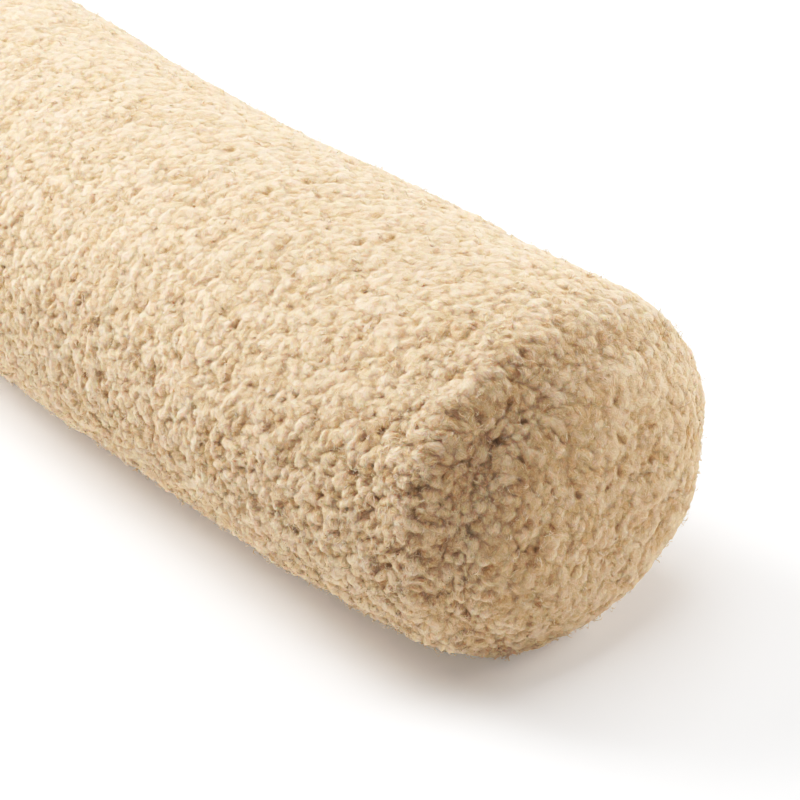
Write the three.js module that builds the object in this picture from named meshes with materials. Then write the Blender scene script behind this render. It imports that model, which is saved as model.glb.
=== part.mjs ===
// Bolster cushion: a long tube of curly fleece, closed by a round panel at each end and filled soft.
// Millimetres, +Z up. The long axis runs along X. The origin is on the floor, under the middle of the box.
// All sizes are taken over the pile.
import * as THREE from 'three';
import { mergeVertices } from 'three/addons/utils/BufferGeometryUtils.js';

// Driving dimensions
const LENGTH = 690; // from the middle of one end panel to the middle of the other
const AROUND = 64; // points round the tube
const TUBE_RINGS = 20; // rings along the tube between the two rounded ends
const END_RINGS = 16; // rings on each rounded end
const RING_BIAS = 0.7; // under 1 it moves those rings out towards the shoulder

// The body as it lies, seen in cross sections. The floor presses its underside flat.
// fromTip is the distance from the tip of the +X end, crown the height of the top above the floor,
// and lean how far the section has slumped towards +Y.
const SECTIONS = [
  { fromTip: 45, halfWidth: 93.5, crown: 164, lean: 6 },
  { fromTip: 110, halfWidth: 97, crown: 167, lean: -1 },
  { fromTip: 200, halfWidth: 95.5, crown: 170.5, lean: -4.5 },
  { fromTip: 290, halfWidth: 96, crown: 170.5, lean: -5 },
  { fromTip: 380, halfWidth: 97, crown: 173.5, lean: -3 },
  { fromTip: 470, halfWidth: 97, crown: 179, lean: 2.5 },
  { fromTip: 560, halfWidth: 95, crown: 178, lean: 1.5 },
  { fromTip: 645, halfWidth: 92, crown: 168, lean: 0 },
];
const SETTLE = 4.5; // depth of round tube that the floor has pressed flat

// A rounded end: a domed panel, and the shoulder that rolls over to it from the tube. Its profile is
// the curve share ^ shoulder + place ^ dome = 1, with share the radius as a share of the tube's, and
// place running from 0 at the start of the shoulder to 1 at the tip.
const END = {
  depth: 44, // from the start of the shoulder to the tip of the panel
  dome: 1.6,
  shoulder: 3.2,
  droop: 6, // how far the filling pulls the panel's middle down
};

// The round seam of each end panel, drawn in below the fleece on both sides of it
const SEAM = {
  share: 0.82, // its radius, as a share of the tube's
  depth: 2, // how far the thread draws it in
  spread: 9, // half the width of the valley
};

const FLEECE = { color: 0xe6cfae, roughness: 1, metalness: 0 };

// Where on a rounded end the radius is that share of the tube's
function endPlace(share) {
  return (1 - share ** END.shoulder) ** (1 / END.dome);
}

// How fast a column of the table changes along the tube at one of its rows
function slopeAt(row, name) {
  const before = SECTIONS[Math.max(row - 1, 0)];
  const after = SECTIONS[Math.min(row + 1, SECTIONS.length - 1)];
  return (after[name] - before[name]) / (after.fromTip - before.fromTip);
}

// The tube's section at a distance from the tip, on smooth curves through the table's rows
function sectionAt(fromTip) {
  const last = SECTIONS.length - 1;
  const at = THREE.MathUtils.clamp(fromTip, SECTIONS[0].fromTip, SECTIONS[last].fromTip);
  const next = Math.max(1, SECTIONS.findIndex((row) => row.fromTip >= at));
  const [a, b] = [SECTIONS[next - 1], SECTIONS[next]];
  const gap = b.fromTip - a.fromTip;
  const part = (at - a.fromTip) / gap;
  const rest = 1 - part;
  const smooth = (name) =>
    a[name] * (1 + 2 * part) * rest ** 2 +
    b[name] * (1 + 2 * rest) * part ** 2 +
    gap * part * rest * (slopeAt(next - 1, name) * rest - slopeAt(next, name) * part);
  return { halfWidth: smooth('halfWidth'), crown: smooth('crown'), lean: smooth('lean') };
}

// Rows of the profile from the tip of one end panel to where the tube begins. The rings lie
// closest together at the seam and on the shoulder.
function endProfile(radius) {
  const seamPlace = endPlace(SEAM.share);
  const rows = [];
  for (let ring = 0; ring <= END_RINGS; ring++) {
    const turn = (ring / END_RINGS) * (Math.PI / 2);
    const share = Math.sin(turn) ** RING_BIAS;
    const place = endPlace(share);
    const seamOff = Math.hypot((share - SEAM.share) * radius, (place - seamPlace) * END.depth);
    const drawnIn = SEAM.depth * Math.exp(-((seamOff / SEAM.spread) ** 2)) * Math.SQRT1_2;
    rows.push({
      fromTip: (1 - place) * END.depth + drawnIn,
      share: share - Math.min(drawnIn / radius, share),
    });
  }
  return rows;
}

// One closed skin: the profile is turned round the long axis, and each ring then takes its section.
function bolsterGeometry() {
  const end = endProfile(SECTIONS[0].halfWidth);
  const profile = end.map((row) => new THREE.Vector2(row.share, row.fromTip - LENGTH));
  const bare = LENGTH - 2 * END.depth;
  for (let ring = 1; ring < TUBE_RINGS; ring++) {
    profile.push(new THREE.Vector2(1, END.depth - LENGTH + (bare * ring) / TUBE_RINGS));
  }
  for (const row of [...end].reverse()) {
    profile.push(new THREE.Vector2(row.share, -row.fromTip));
  }
  const turned = new THREE.LatheGeometry(profile, AROUND);
  turned.deleteAttribute('uv');
  turned.deleteAttribute('normal');
  const skin = mergeVertices(turned);
  const points = skin.getAttribute('position');
  for (let i = 0; i < points.count; i++) {
    const across = -points.getX(i);
    const along = points.getY(i);
    const up = points.getZ(i);
    const { halfWidth, crown, lean } = sectionAt(-along);
    const sag = END.droop * (1 - Math.hypot(across, up));
    const middle = (crown - SETTLE) / 2 - sag;
    const height = middle + (up * (crown + SETTLE)) / 2;
    points.setXYZ(i, LENGTH / 2 + along, lean + across * halfWidth, Math.max(height, 0));
  }
  skin.computeBoundingBox();
  const centre = skin.boundingBox.getCenter(new THREE.Vector3());
  return skin.translate(-centre.x, -centre.y, 0);
}

const material = new THREE.MeshStandardMaterial(FLEECE);
const bolster = new THREE.Mesh(bolsterGeometry(), material);
bolster.name = 'bolster';

const cushion = new THREE.Group();
cushion.add(bolster);

export default cushion;
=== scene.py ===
import math

import bpy
import numpy as np
from mathutils import Matrix, Vector, noise
from mathutils.kdtree import KDTree


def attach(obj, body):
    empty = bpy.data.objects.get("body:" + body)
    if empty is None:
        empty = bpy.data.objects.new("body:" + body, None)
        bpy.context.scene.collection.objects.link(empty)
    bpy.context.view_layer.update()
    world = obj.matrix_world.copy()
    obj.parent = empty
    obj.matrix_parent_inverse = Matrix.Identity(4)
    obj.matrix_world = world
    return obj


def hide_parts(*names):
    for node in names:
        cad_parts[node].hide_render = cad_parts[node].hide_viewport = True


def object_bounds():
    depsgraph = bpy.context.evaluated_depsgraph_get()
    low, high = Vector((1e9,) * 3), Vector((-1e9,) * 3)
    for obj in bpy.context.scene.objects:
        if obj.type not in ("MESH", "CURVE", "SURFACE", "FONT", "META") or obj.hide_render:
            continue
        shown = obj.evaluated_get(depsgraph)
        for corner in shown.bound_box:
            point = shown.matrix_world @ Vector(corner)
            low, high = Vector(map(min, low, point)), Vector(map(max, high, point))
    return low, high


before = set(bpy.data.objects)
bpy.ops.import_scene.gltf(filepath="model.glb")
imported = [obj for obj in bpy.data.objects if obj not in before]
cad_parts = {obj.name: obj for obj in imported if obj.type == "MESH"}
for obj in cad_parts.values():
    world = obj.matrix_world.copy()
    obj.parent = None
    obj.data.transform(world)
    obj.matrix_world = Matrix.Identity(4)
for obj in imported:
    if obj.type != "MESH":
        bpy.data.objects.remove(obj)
cad_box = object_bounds()

# Cover: the knitted ground of the fleece, sewn from one tube panel and two round end panels, turned
# right side out and filled tight with loose fibre. The filling swells it between the two end seams,
# and its own weight presses the underside flat.
PILE_REACH = 0.0046  # from this ground to the tips of the curls
COVER_VOXEL = 0.006
SWELL_ROOM = 0.0006
SWELL_PRESSURE = 4.0
SWELL_FRAMES = 20
SWELL_CAP = 0.0030
FLOOR_GAP = 0.0014
SEAM_BACK = 0.0215  # behind the tip of each end panel
SEAM_DEPTH = 0.0030
SEAM_WIDTH = 0.0088
SEAM_ROLL_BACK = 0.0335  # the tube's own edge stands up in a soft roll behind the seam
SEAM_ROLL_HEIGHT = 0.0025
SEAM_ROLL_WIDTH = 0.0075
SEAM_TIGHT_TURN = math.radians(32)  # the thread is pulled tightest here, turning up from -Y
SEAM_TIGHT_SPREAD = math.radians(62)
SEAM_LOOSE = 0.15  # what is left of the seam where the thread is loosest
COVER_LUMPS = ((0.034, 0.0012), (0.011, 0.0010))  # size and height of uneven filling
GROUND_SAND = (0.65, 0.46, 0.27, 1)
GROUND_CREAM = (0.79, 0.62, 0.44, 1)
GROUND_SHADES_AT = (0.3, 0.62)
GROUND_FLUFF_SCALE = 260.0
GROUND_FLUFF_DETAIL = 3.0
GROUND_RELIEF = 0.0012
FLEECE_ROUGHNESS = 0.95
FLEECE_SPECULAR = 0.1
NO_LENGTH = 1e-12  # stands in for zero where a row is divided by its length


def read_points(mesh, what="co"):
    """The places or the normals of a mesh's points, as rows of three."""
    values = np.empty(len(mesh.vertices) * 3, np.float32)
    mesh.vertices.foreach_get(what, values)
    return values.reshape(-1, 3).astype(float)


def move_points(mesh, places):
    mesh.vertices.foreach_set("co", places.astype(np.float32).ravel())
    mesh.update()


def apply_modifier(piece, modifier):
    bpy.context.view_layer.objects.active = piece
    bpy.ops.object.modifier_apply(modifier=modifier.name)


def remesh(piece, voxel):
    """Gives a closed piece an even skin of faces of that size."""
    even = piece.modifiers.new("even_faces", "REMESH")
    even.mode = "VOXEL"
    even.voxel_size = voxel
    apply_modifier(piece, even)


def swollen(piece, start):
    """Where the pressure of the filling brings the points of a closed skin."""
    swell = piece.modifiers.new("swell", "CLOTH")
    swell.settings.use_pressure = True
    swell.settings.uniform_pressure_force = SWELL_PRESSURE
    swell.settings.effector_weights.gravity = 0
    for step in range(1, SWELL_FRAMES + 1):
        bpy.context.scene.frame_set(step)
    swelled = piece.evaluated_get(bpy.context.evaluated_depsgraph_get())
    moved = read_points(swelled.data) - start
    piece.modifiers.remove(swell)
    far = np.maximum(np.linalg.norm(moved, axis=1, keepdims=True), NO_LENGTH)
    return start + moved * np.minimum(1, SWELL_CAP / far)


def uneven(places, size):
    """Soft chance between -1 and 1 for each place, with lumps of that size."""
    return np.array([noise.noise(Vector(place) / size) for place in places])


def hump(distance, width):
    """A soft rise of 1 at distance 0, that fades out over the width."""
    return np.exp(-((distance / width) ** 2))


def new_material(name):
    material = bpy.data.materials.new(name)
    material.use_nodes = True
    tree = material.node_tree
    shader = tree.nodes["Principled BSDF"]
    shader.inputs["Roughness"].default_value = FLEECE_ROUGHNESS
    shader.inputs["Specular IOR Level"].default_value = FLEECE_SPECULAR
    return material, tree.nodes, tree.links, shader


def round_seams(places):
    """How far places lie behind the nearer tip, and how tight the nearer seam is pulled there."""
    behind_tip = np.minimum(places[:, 0] - low[0], high[0] - places[:, 0])
    turn = np.arctan2(places[:, 2] - high[2] / 2, -places[:, 1])
    off_tight = (turn - SEAM_TIGHT_TURN + math.pi) % (2 * math.pi) - math.pi
    return behind_tip, SEAM_LOOSE + (1 - SEAM_LOOSE) * hump(off_tight, SEAM_TIGHT_SPREAD)


cover = bpy.data.objects.new("cover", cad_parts["bolster"].data.copy())
cover.data.materials.clear()
bpy.context.scene.collection.objects.link(cover)
remesh(cover, COVER_VOXEL)
start = read_points(cover.data) - read_points(cover.data, "normal") * (PILE_REACH + SWELL_ROOM)
move_points(cover.data, start)
move_points(cover.data, swollen(cover, start))
finer = cover.modifiers.new("finer", "SUBSURF")
finer.levels = 1
apply_modifier(cover, finer)

low, high = (np.array(corner) for corner in cad_box)
places = read_points(cover.data)
behind_tip, tight = round_seams(places)
rise = SEAM_ROLL_HEIGHT * tight * hump(behind_tip - SEAM_ROLL_BACK, SEAM_ROLL_WIDTH)
rise -= SEAM_DEPTH * tight * hump(behind_tip - SEAM_BACK, SEAM_WIDTH)
for size, height in COVER_LUMPS:
    rise += height * uneven(places, size)
places += read_points(cover.data, "normal") * rise[:, None]
places[:, 2] = np.maximum(places[:, 2], FLOOR_GAP)
move_points(cover.data, places)
cover.data.shade_smooth()

ground, nodes, links, shader = new_material("fleece_ground")
object_place = nodes.new("ShaderNodeTexCoord")
fluff = nodes.new("ShaderNodeTexNoise")
fluff.inputs["Scale"].default_value = GROUND_FLUFF_SCALE
fluff.inputs["Detail"].default_value = GROUND_FLUFF_DETAIL
links.new(object_place.outputs["Object"], fluff.inputs["Vector"])
shade = nodes.new("ShaderNodeValToRGB")
for stop, position, colour in zip(shade.color_ramp.elements, GROUND_SHADES_AT, (GROUND_SAND, GROUND_CREAM)):
    stop.position = position
    stop.color = colour
links.new(fluff.outputs["Fac"], shade.inputs["Fac"])
links.new(shade.outputs["Color"], shader.inputs["Base Color"])
relief = nodes.new("ShaderNodeBump")
relief.inputs["Distance"].default_value = GROUND_RELIEF
links.new(fluff.outputs["Fac"], relief.inputs["Height"])
links.new(relief.outputs["Normal"], shader.inputs["Normal"])
cover.data.materials.append(ground)
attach(cover, "root")
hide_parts("bolster")

# Pile: crimped fibres stand in the knit and cling together in curls two millimetres wide, and these
# in knobs of four to six. Handling has laid it flat on top and on the ends, and it stands open down
# the flanks. It is one skin over the whole cover, kept in three lengths.
SEED = 7
MILLIMETRES = 1000  # in a metre
MIDDLE = 0.5  # of any noise or chance
SKIN_VOXEL = 0.00138
PILE_LENGTHS = 3
PILE_TOP = 0.0046  # from the ground to the crown of a knob
PILE_ABOVE_FLOOR = 0.0006
KNOB_GAP = 0.0030
KNOB_HALF = (0.0030, 0.0024)  # half its size along the lay and across it
KNOB_HEIGHT = 0.0017
KNOBS_SHED = 0.15  # the share that has worn off
CURL_GAP = 0.0018
CURL_HALF = (0.0016, 0.0012)
CURL_HEIGHT = 0.0007
PIT_GAP = 0.0085  # pits are places where the knobs have parted; they are sunk, and painted darker as shade
PIT_HALF = (0.0026, 0.0019)
PIT_DEPTH = 0.0008
PITS_CLOSED = 0.4
TRIES = 5  # points tried for each that can stay at its distance from the others
TUFT_SIZES = (0.75, 1.3)
TUFTS_NEAR = 8
TUFT_UNEVEN = 0.7  # how much one stands above another, as a share of its height
TUFT_FOOT = -0.8  # where the gaps between tufts level out, with 1 on the crown and 0 at the rim
CREASE_SOFT = 0.22
RAGGED_SIZE = 0.0022
RAGGED_REACH = 0.0008
FLANK_OPEN = 0.88  # how much of the tufts' full height shows down the flanks
TOP_FLAT = 0.3  # how much of it handling has taken away on top
TOP_FACING = (0.15, 0.85)  # from fully open to fully flat, by how far the ground faces up
END_FLAT = 0.38
END_FACING = (0.6, 0.95)
END_PAINTED_SHADE = 0.26  # painted shade that colours the pile on the end panels darker
RIM_OPEN = 0.24  # the pile parts most over the bend into each end
RIM_OPEN_BACK = 0.042
RIM_OPEN_WIDTH = 0.022
LAY_LUMP = 0.016  # neighbours within this distance lie alike
LAY_LUMP_SHARE = 1.2
LAY_CHANCE = 0.8
NORMAL_SOFT = 0.3  # light goes round a fibre, so the pile is shaded softer than its shape
TAN = (0.50, 0.31, 0.165, 1)
SAND = (0.66, 0.47, 0.305, 1)
CREAM = (0.79, 0.606, 0.43, 1)
PALE = (0.86, 0.69, 0.525, 1)
SHADES = ((0.0, TAN), (0.35, SAND), (0.68, CREAM), (1.0, PALE))
CROWN_TONE = 0.76  # on this scale of shades
# painted shade: the pile is coloured darker the further a place lies below the crowns of its knobs and
# curls
GAP_PAINTED_SHADE = 0.45
# painted shade that colours the pits darker
PIT_PAINTED_SHADE = 0.3
FIBRE_STRETCH = (0.35, 1.15, 1.0)  # along the lay, across it, and from knob to knob
FIBRE_DETAIL = 3.0
FIBRE_ROUGH = 0.65
FIBRE_CRIMP = 0.9
MOTTLE_SCALE = 1.1
MOTTLE_DETAIL = 2.0
MOTTLE_RELIEF = 0.4
KNOB_CHANCE_SPAN = 9.0  # moves the pattern of each knob's fibres away from its neighbours'
PILE_STREAKS = 1.5
PILE_MOTTLE = 0.5
PILE_SPREAD = 0.22
PILE_RELIEF = 0.0011
GLOW_THROUGH = 0.55
GLOW_RADIUS = (1.0, 0.5, 0.25)
GLOW_REACH = 0.0035
HALO = 0.2
HALO_ROUGHNESS = 0.5
HALO_TINT = (1.0, 0.86, 0.68, 1)

rng = np.random.default_rng(SEED)
noise.seed_set(SEED)


def unit(rows):
    return rows / np.maximum(np.linalg.norm(rows, axis=-1, keepdims=True), NO_LENGTH)


def across_skin(rows, up):
    """Unit rows that lie in the skin, from any rows and the skin's normals."""
    return unit(rows - (rows * up).sum(1, keepdims=True) * up)


def share_between(values, limits):
    """How far values have gone from the first limit to the second, from 0 to 1."""
    return np.clip((values - limits[0]) / (limits[1] - limits[0]), 0, 1)


def triangles_of(mesh):
    mesh.calc_loop_triangles()
    corners = np.empty(len(mesh.loop_triangles) * 3, np.int32)
    mesh.loop_triangles.foreach_get("vertices", corners)
    return corners.reshape(-1, 3)


def triangle_normals(places, corners):
    """The normal of each triangle, as long as twice its area."""
    a, b, c = (places[corners[:, i]] for i in range(3))
    return np.cross(b - a, c - a)


def scattered(count, places, facing, corners):
    """Points spread by chance over a skin, and the normals there."""
    area = np.linalg.norm(triangle_normals(places, corners), axis=1)
    pick = rng.choice(len(corners), count, p=area / area.sum())
    u, v = rng.random((2, count, 1))
    outside = (u + v) > 1
    u, v = np.where(outside, 1 - u, u), np.where(outside, 1 - v, v)
    a, b, c = (corners[pick, i] for i in range(3))
    spot = places[a] + u * (places[b] - places[a]) + v * (places[c] - places[a])
    return spot, unit(facing[a] + u * (facing[b] - facing[a]) + v * (facing[c] - facing[a]))


def tree_of(spots):
    tree = KDTree(len(spots))
    for i, spot in enumerate(spots):
        tree.insert(spot, i)
    tree.balance()
    return tree


def spaced(spots, gap):
    """The indices of points that stand at least that far apart."""
    tree = tree_of(spots)
    free = np.ones(len(spots), bool)
    kept = []
    for i, spot in enumerate(spots):
        if free[i]:
            kept.append(i)
            for _, near, _ in tree.find_range(spot, gap):
                free[near] = False
    return np.array(kept)


def lay_at(spots, up):
    """The way the pile lies: round the tube and down each end, with lumps and chance."""
    round_tube = np.cross((1.0, 0.0, 0.0), up)
    down_end = np.array([0.0, 0.0, -1.0]) * up[:, :1] ** 2
    lumps = np.array([noise.noise_vector(Vector(spot) / LAY_LUMP) for spot in spots])
    chance = rng.normal(0, LAY_CHANCE, spots.shape)
    return across_skin(round_tube + down_end + lumps * LAY_LUMP_SHARE + chance, up)


def sown(gap, half, missing):
    """Tufts at least that far apart all over the skin, less a share that is missing."""
    spot, up = scattered(int(TRIES * area / gap ** 2), base, facing, corners)
    kept = spaced(spot, gap)
    kept = kept[rng.random(len(kept)) >= missing]
    spot, up = spot[kept], up[kept]
    lay = lay_at(spot, up)
    return {
        "spot": spot,
        "lay": lay,
        "aside": np.cross(up, lay),
        "half": np.array(half) * rng.uniform(*TUFT_SIZES, (len(spot), 2)),
        "chance": rng.random(len(spot)),
    }


def crowns(tufts, places):
    """For each place, its height on the tufts, the tuft that covers it, and where on that tuft."""
    tree = tree_of(tufts["spot"])
    near = np.array([[i for _, i, _ in tree.find_n(place, TUFTS_NEAR)] for place in places])
    away = places[:, None] - tufts["spot"][near]
    along = (away * tufts["lay"][near]).sum(2)
    across = (away * tufts["aside"][near]).sum(2)
    body = 1 - (along / tufts["half"][near, 0]) ** 2 - (across / tufts["half"][near, 1]) ** 2
    body = np.maximum(body, TUFT_FOOT) + TUFT_UNEVEN * (tufts["chance"][near] - MIDDLE)
    first = body.argmax(1)
    row = np.arange(len(places))
    top = body[row, first]
    soft = top + CREASE_SOFT * np.log(np.exp((body - top[:, None]) / CREASE_SOFT).sum(1))
    return soft, near[row, first], along[row, first], across[row, first]


skin = cover.copy()
skin.data = cover.data.copy()
bpy.context.scene.collection.objects.link(skin)
remesh(skin, SKIN_VOXEL)
base = read_points(skin.data)
facing = read_points(skin.data, "normal")
corners = triangles_of(skin.data)
bpy.data.objects.remove(skin)
area = np.linalg.norm(triangle_normals(base, corners), axis=1).sum() / 2

behind_tip, tight = round_seams(base)
on_end = share_between(np.abs(facing[:, 0]), END_FACING)
openness = FLANK_OPEN - TOP_FLAT * share_between(facing[:, 2], TOP_FACING) - END_FLAT * on_end
openness += RIM_OPEN * tight * hump(behind_tip - RIM_OPEN_BACK, RIM_OPEN_WIDTH)
knobs = sown(KNOB_GAP, KNOB_HALF, KNOBS_SHED)
curls = sown(CURL_GAP, CURL_HALF, 0)
pits = sown(PIT_GAP, PIT_HALF, PITS_CLOSED)
wander = np.array([noise.noise_vector(Vector(place) / RAGGED_SIZE) for place in base]) * RAGGED_REACH
knob, owner, along, across = crowns(knobs, base + wander)
curl = crowns(curls, base + wander)[0]
pit = np.clip(crowns(pits, base + wander)[0], 0, 1)
below_crown = openness * (KNOB_HEIGHT * (1 - knob) + CURL_HEIGHT * (1 - curl))
tips = base + facing * (PILE_TOP - below_crown - PIT_DEPTH * pit)[:, None]
tips[:, 2] = np.maximum(tips[:, 2], PILE_ABOVE_FLOOR)
shown = np.zeros_like(tips)
tufts_face = triangle_normals(tips, corners)
for i in range(3):
    np.add.at(shown, corners[:, i], tufts_face)
shown = unit(unit(shown) * (1 - NORMAL_SOFT) + facing * NORMAL_SOFT)

chance = knobs["chance"][owner]
fibre = np.stack([along * MILLIMETRES, across * MILLIMETRES, chance * KNOB_CHANCE_SPAN], 1)
# painted shade: darker down between the knobs and curls, in the pits and on the end panels
painted_shade = GAP_PAINTED_SHADE * below_crown / (KNOB_HEIGHT + CURL_HEIGHT) + PIT_PAINTED_SHADE * pit + END_PAINTED_SHADE * on_end
tone = np.stack([CROWN_TONE - painted_shade, chance, openness], 1)  # shade, chance of its knob, openness

fibre_look = bpy.data.node_groups.new("fibre_look", "ShaderNodeTree")
look_socket = fibre_look.interface.new_socket
look_socket("Fibre", in_out="INPUT", socket_type="NodeSocketVector")
look_socket("Tone", in_out="INPUT", socket_type="NodeSocketVector")
for label in ("Streaks", "Mottle", "Spread"):
    look_socket(label, in_out="INPUT", socket_type="NodeSocketFloat")
look_socket("Color", in_out="OUTPUT", socket_type="NodeSocketColor")
look_socket("Height", in_out="OUTPUT", socket_type="NodeSocketFloat")
nodes, links = fibre_look.nodes, fibre_look.links
given = nodes.new("NodeGroupInput").outputs
result = nodes.new("NodeGroupOutput").inputs


def look_math(kind, *values):
    """A number worked out from numbers and sockets inside the group."""
    made = nodes.new("ShaderNodeMath")
    made.operation = kind
    for socket, value in zip(made.inputs, values):
        if isinstance(value, float):
            socket.default_value = value
        else:
            links.new(value, socket)
    return made.outputs["Value"]


def look_noise(vector, scale, detail, rough=0.5, crimp=0.0):
    made = nodes.new("ShaderNodeTexNoise")
    made.inputs["Scale"].default_value = scale
    made.inputs["Detail"].default_value = detail
    made.inputs["Roughness"].default_value = rough
    made.inputs["Distortion"].default_value = crimp
    links.new(vector, made.inputs["Vector"])
    return made.outputs["Fac"]


stretch = nodes.new("ShaderNodeMapping")
stretch.inputs["Scale"].default_value = FIBRE_STRETCH
links.new(given["Fibre"], stretch.inputs["Vector"])
streak = look_noise(stretch.outputs["Vector"], 1.0, FIBRE_DETAIL, FIBRE_ROUGH, FIBRE_CRIMP)
mottle = look_noise(given["Fibre"], MOTTLE_SCALE, MOTTLE_DETAIL)
split = nodes.new("ShaderNodeSeparateXYZ")
links.new(given["Tone"], split.inputs["Vector"])
shade, chance_of_knob, open_here = split.outputs
streak_share = look_math("MULTIPLY", given["Streaks"], open_here)
for source, share in ((streak, streak_share), (mottle, given["Mottle"]), (chance_of_knob, given["Spread"])):
    shade = look_math("MULTIPLY_ADD", look_math("SUBTRACT", source, MIDDLE), share, shade)
ramp = nodes.new("ShaderNodeValToRGB")
for position, colour in SHADES[1:-1]:
    ramp.color_ramp.elements.new(position)
for stop, (position, colour) in zip(ramp.color_ramp.elements, SHADES):
    stop.position = position
    stop.color = colour
links.new(shade, ramp.inputs["Fac"])
links.new(ramp.outputs["Color"], result["Color"])
height = look_math("MULTIPLY_ADD", mottle, MOTTLE_RELIEF, streak)
links.new(look_math("MULTIPLY", height, open_here), result["Height"])


def fibre_material(name, streaks, mottle, spread, relief):
    material, nodes, links, shader = new_material(name)
    shader.inputs["Subsurface Weight"].default_value = GLOW_THROUGH
    shader.inputs["Subsurface Radius"].default_value = GLOW_RADIUS
    shader.inputs["Subsurface Scale"].default_value = GLOW_REACH
    shader.inputs["Sheen Weight"].default_value = HALO
    shader.inputs["Sheen Roughness"].default_value = HALO_ROUGHNESS
    shader.inputs["Sheen Tint"].default_value = HALO_TINT
    look = nodes.new("ShaderNodeGroup")
    look.node_tree = fibre_look
    look.inputs["Streaks"].default_value = streaks
    look.inputs["Mottle"].default_value = mottle
    look.inputs["Spread"].default_value = spread
    for stored, socket in (("fibre", "Fibre"), ("tone", "Tone")):
        attribute = nodes.new("ShaderNodeAttribute")
        attribute.attribute_name = stored
        links.new(attribute.outputs["Vector"], look.inputs[socket])
    links.new(look.outputs["Color"], shader.inputs["Base Color"])
    bump = nodes.new("ShaderNodeBump")
    bump.inputs["Distance"].default_value = relief
    links.new(look.outputs["Height"], bump.inputs["Height"])
    links.new(bump.outputs["Normal"], shader.inputs["Normal"])
    return material


def fleece_piece(name, places, faces, fibre, tone, material):
    """A piece of pile from arrays of points and triangles, with what its material reads."""
    mesh = bpy.data.meshes.new(name)
    mesh.vertices.add(len(places))
    mesh.vertices.foreach_set("co", places.astype(np.float32).ravel())
    mesh.loops.add(faces.size)
    mesh.loops.foreach_set("vertex_index", faces.astype(np.int32).ravel())
    mesh.polygons.add(len(faces))
    mesh.polygons.foreach_set("loop_start", np.arange(0, faces.size, 3, dtype=np.int32))
    mesh.update(calc_edges=True)
    mesh.shade_smooth()
    for label, rows in (("fibre", fibre), ("tone", tone)):
        stored = mesh.attributes.new(label, "FLOAT_VECTOR", "POINT")
        stored.data.foreach_set("vector", rows.astype(np.float32).ravel())
    mesh.materials.append(material)
    piece = bpy.data.objects.new(name, mesh)
    bpy.context.scene.collection.objects.link(piece)
    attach(piece, "root")
    return piece


def pile_piece(name, chosen):
    """The pile over the chosen triangles of the skin."""
    used = np.unique(corners[chosen])
    renumbered = np.zeros(len(base), np.int64)
    renumbered[used] = np.arange(len(used))
    piece = fleece_piece(name, tips[used], renumbered[corners[chosen]], fibre[used], tone[used], pile)
    piece.data.normals_split_custom_set_from_vertices(shown[used])


pile = fibre_material("fleece_pile", PILE_STREAKS, PILE_MOTTLE, PILE_SPREAD, PILE_RELIEF)
from_far_end = np.argsort(base[corners].mean(1)[:, 0], kind="stable")
for number, chosen in enumerate(np.array_split(from_far_end, PILE_LENGTHS), 1):
    pile_piece(f"pile_{number}", chosen)

# Wisps: single loose fibres that the tumbling has teased out of the knobs, a few together from one
# root. Most stand at the edge of a gap and reach over it in a short crook. They are in two groups.
WISP_TUFTS = 11200
WISPS_TOGETHER = 4
WISP_GROUPS = 2
WISP_LENGTH = 0.0050
WISP_LENGTHS = (0.5, 1.4)
WISP_WIDTH = 0.00034
WISP_WIDTHS = (0.6, 1.3)
WISP_SIDES = 3
WISP_ROOT_DEPTH = 0.0006
WISP_ROOTS_APART = 0.0004
WISP_FIRST_RISE = (math.radians(15), math.radians(55))
WISP_THEN_RISE = (math.radians(-50), 0.0)
WISP_CURL = math.radians(63)  # how far each half may turn off the lay
WISP_FAN = math.radians(14)
WISP_STRAY = 0.5
WISP_ON_CROWN = 0.25  # how often one stands on a crown, against 1 at the rim of a knob
# painted shade: each wisp is coloured darker at its root, down in the pile, and paler towards its tip
WISP_SHADED_ROOT_TONE = 0.55
WISP_TIP_PALER = 0.3
WISP_STREAKS = 0.6
WISP_RELIEF = 0.0002
WISP_ABOVE_FLOOR = 0.0004


def heading(rise, turn, up, lay):
    """Unit rows at those angles above the skin and off the lay."""
    level = np.cos(turn) * lay + np.sin(turn) * np.cross(up, lay)
    return np.sin(rise) * up + np.cos(rise) * level


def fanned(lowest, highest, count):
    """A chance angle for each tuft of wisps, and a little off it for each wisp."""
    shared = rng.uniform(lowest, highest, (count // WISPS_TOGETHER, 1))
    return np.repeat(shared, WISPS_TOGETHER, 0) + rng.normal(0, WISP_FAN, (count, 1))


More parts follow.
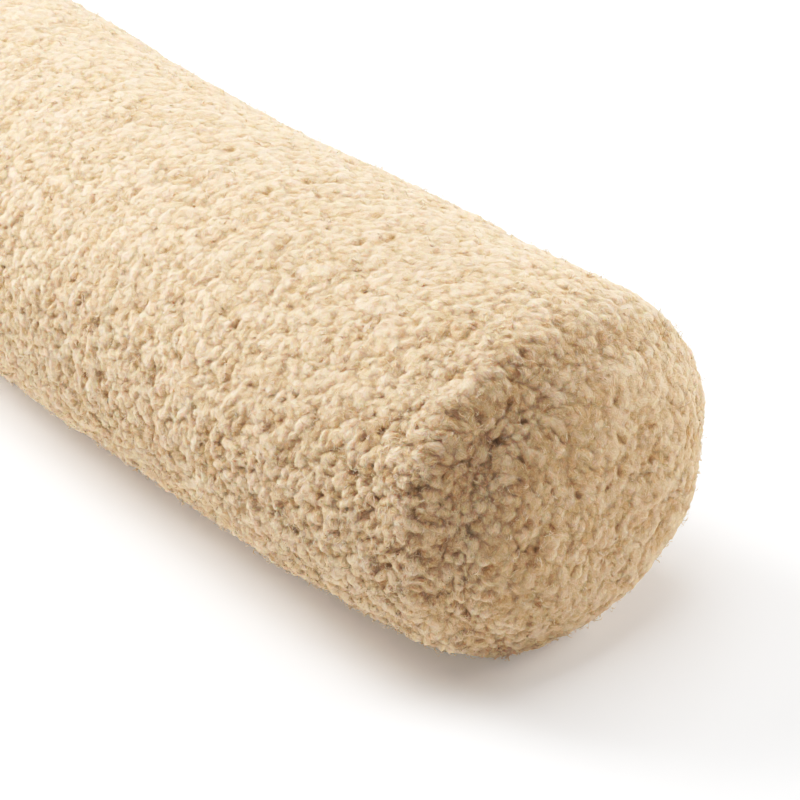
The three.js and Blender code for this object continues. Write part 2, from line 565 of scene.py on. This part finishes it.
def wisps(name, root, up, lay):
    """Closed strands, each of two spans with a ring of corners where it bends."""
    count = len(root)
    length = WISP_LENGTH * rng.uniform(*WISP_LENGTHS, (count, 1))
    width = WISP_WIDTH * rng.uniform(*WISP_WIDTHS, (count, 1))
    first = heading(fanned(*WISP_FIRST_RISE, count), fanned(-WISP_CURL, WISP_CURL, count), up, lay)
    then = heading(fanned(*WISP_THEN_RISE, count), fanned(-WISP_CURL, WISP_CURL, count), up, lay)
    bend = root + first * length / 2
    onward = unit(first + then)
    across = unit(np.cross(onward, up))
    over = np.cross(across, onward)
    rings = [root]
    faces = []
    for corner in range(WISP_SIDES):
        angle = 2 * math.pi * corner / WISP_SIDES
        rings.append(bend + (math.cos(angle) * across + math.sin(angle) * over) * width / 2)
        this = 1 + corner
        following = 1 + (corner + 1) % WISP_SIDES
        faces.append((0, following, this))
        faces.append((WISP_SIDES + 1, this, following))
    rings.append(bend + then * length / 2)
    points = np.stack(rings, 1)
    points[..., 2] = np.maximum(points[..., 2], WISP_ABOVE_FLOOR)
    faces = np.array(faces) + np.arange(count)[:, None, None] * len(rings)
    up_the_wisp = np.array([0] + [0.5] * WISP_SIDES + [1])
    tone = np.ones(points.shape)
    # painted shade, darkest at the root
    tone[..., 0] = WISP_SHADED_ROOT_TONE + WISP_TIP_PALER * up_the_wisp
    tone[..., 1] = rng.random((count, 1))
    fibre = tone * KNOB_CHANCE_SPAN
    fleece_piece(name, points.reshape(-1, 3), faces.reshape(-1, 3), fibre, tone, strands)


strands = fibre_material("fleece_wisps", WISP_STREAKS, 0.0, PILE_SPREAD, WISP_RELIEF)
likely = openness ** 2 * np.clip(below_crown / KNOB_HEIGHT, WISP_ON_CROWN, 1)
pick = rng.choice(len(base), WISP_TUFTS, replace=False, p=likely / likely.sum())
either_way = rng.choice((-1, 1), (WISP_TUFTS, 1))
way = knobs["lay"][owner[pick]] * either_way + rng.normal(0, WISP_STRAY, (WISP_TUFTS, 3))
wisp_lay = np.repeat(across_skin(way, shown[pick]), WISPS_TOGETHER, 0)
pick = np.repeat(pick, WISPS_TOGETHER)
root = tips[pick] - facing[pick] * WISP_ROOT_DEPTH
root += rng.normal(0, WISP_ROOTS_APART, root.shape)
a_group = WISP_TUFTS // WISP_GROUPS * WISPS_TOGETHER
for i in range(WISP_GROUPS):
    group = slice(i * a_group, (i + 1) * a_group)
    wisps(f"wisps_{i + 1}", root[group], shown[pick[group]], wisp_lay[group])

# Floor: a seamless white sweep, large enough to have no edge in any view. It is lit from below as
# light tables are, so that the shadows on it stay pale, and more brightly further out, where the
# lamps don't reach.
FLOOR_SIZE = 12
FLOOR_GREY = (0.92, 0.92, 0.92, 1)
FLOOR_GLOW = 0.14
FLOOR_GLOW_RISES = (1.2, 2.7)  # from this distance to that one, up to full white
WHITE = (1, 1, 1, 1)

bpy.ops.mesh.primitive_plane_add(size=FLOOR_SIZE)
floor = bpy.context.object
floor.name = "floor"
sweep, nodes, links, shader = new_material("white_sweep")
shader.inputs["Base Color"].default_value = FLOOR_GREY
shader.inputs["Emission Strength"].default_value = 1.0
floor_place = nodes.new("ShaderNodeTexCoord")
distance = nodes.new("ShaderNodeVectorMath")
distance.operation = "LENGTH"
links.new(floor_place.outputs["Object"], distance.inputs[0])
glow = nodes.new("ShaderNodeMapRange")
glow.inputs["From Min"].default_value, glow.inputs["From Max"].default_value = FLOOR_GLOW_RISES
glow.inputs["To Min"].default_value = FLOOR_GLOW
links.new(distance.outputs["Value"], glow.inputs["Value"])
links.new(glow.outputs["Result"], shader.inputs["Emission Color"])
floor.data.materials.append(sweep)

# Studio: white softboxes round the cushion, the strongest behind it on the left, and a low even
# light from all sides. The wall behind is white. The tone curve prints the highlights pale and the
# shadows rich.
LAMPS_AIM = Vector((0.05, 0, 0.08))
LAMPS = (  # name, place, side and power
    ("key", (-1.5, -0.8, 1.6), 1.2, 51),
    ("over", (0, 0, 2.2), 1.6, 26.5),
    ("fill", (0.9, 1.7, 0.6), 1.2, 23),
    ("front", (-0.2, -2.2, 0.7), 1.2, 2.2),
)
EVEN_LIGHT = 0.085
TONE_CURVE = ((0.1, 0.063), (0.3, 0.331), (0.5, 0.6), (0.75, 0.843))
ALL_COLOURS = 3  # the curve that red, green and blue share

for name, place, side, power in LAMPS:
    softbox = bpy.data.lights.new(name, "AREA")
    softbox.size = side
    softbox.energy = power
    lamp = bpy.data.objects.new(name, softbox)
    lamp.location = place
    lamp.rotation_euler = (LAMPS_AIM - lamp.location).to_track_quat("-Z", "Y").to_euler()
    bpy.context.scene.collection.objects.link(lamp)
world = bpy.data.worlds.new("studio")
world.use_nodes = True
nodes, links = world.node_tree.nodes, world.node_tree.links
even = nodes["Background"]
even.inputs["Color"].default_value = WHITE
even.inputs["Strength"].default_value = EVEN_LIGHT
wall = nodes.new("ShaderNodeBackground")
wall.inputs["Color"].default_value = WHITE
light_path = nodes.new("ShaderNodeLightPath")
seen = nodes.new("ShaderNodeMixShader")
links.new(light_path.outputs["Is Camera Ray"], seen.inputs[0])
links.new(even.outputs["Background"], seen.inputs[1])
links.new(wall.outputs["Background"], seen.inputs[2])
links.new(seen.outputs["Shader"], nodes["World Output"].inputs["Surface"])
bpy.context.scene.world = world
view = bpy.context.scene.view_settings
view.view_transform = "Standard"
view.use_curve_mapping = True
for point in TONE_CURVE:
    view.curve_mapping.curves[ALL_COLOURS].points.new(*point)
view.curve_mapping.update()

# Camera: a little above the cushion and off its near end, so that the tube runs away to the upper
# left, out of the picture. It is placed by where the picture shows the tip of the near end.
PICTURE_SIDE = 800
LENS = 103.5
SENSOR = 36.0
AZIMUTH = math.radians(49.5)  # round from -Y towards +X
ELEVATION = math.radians(29.66)
TIP = Vector((high[0], 0.001, 0.090))
TIP_PIXEL = (604, 499)
TIP_DISTANCE = 0.950
CLIP = (0.05, 50)

back = Vector((math.sin(AZIMUTH), -math.cos(AZIMUTH), 0)) * math.cos(ELEVATION)
back.z = math.sin(ELEVATION)
right = Vector((math.cos(AZIMUTH), math.sin(AZIMUTH), 0))
above = back.cross(right)
per_pixel = TIP_DISTANCE * SENSOR / LENS / PICTURE_SIDE
eye = TIP + back * TIP_DISTANCE
eye -= right * (TIP_PIXEL[0] - PICTURE_SIDE / 2) * per_pixel
eye += above * (TIP_PIXEL[1] - PICTURE_SIDE / 2) * per_pixel
camera = bpy.data.objects.new("camera", bpy.data.cameras.new("camera"))
camera.data.lens = LENS
camera.data.sensor_width = SENSOR
camera.data.clip_start, camera.data.clip_end = CLIP
camera.matrix_world = Matrix.Translation(eye) @ Matrix((right, above, back)).transposed().to_4x4()
bpy.context.scene.collection.objects.link(camera)
bpy.context.scene.camera = camera
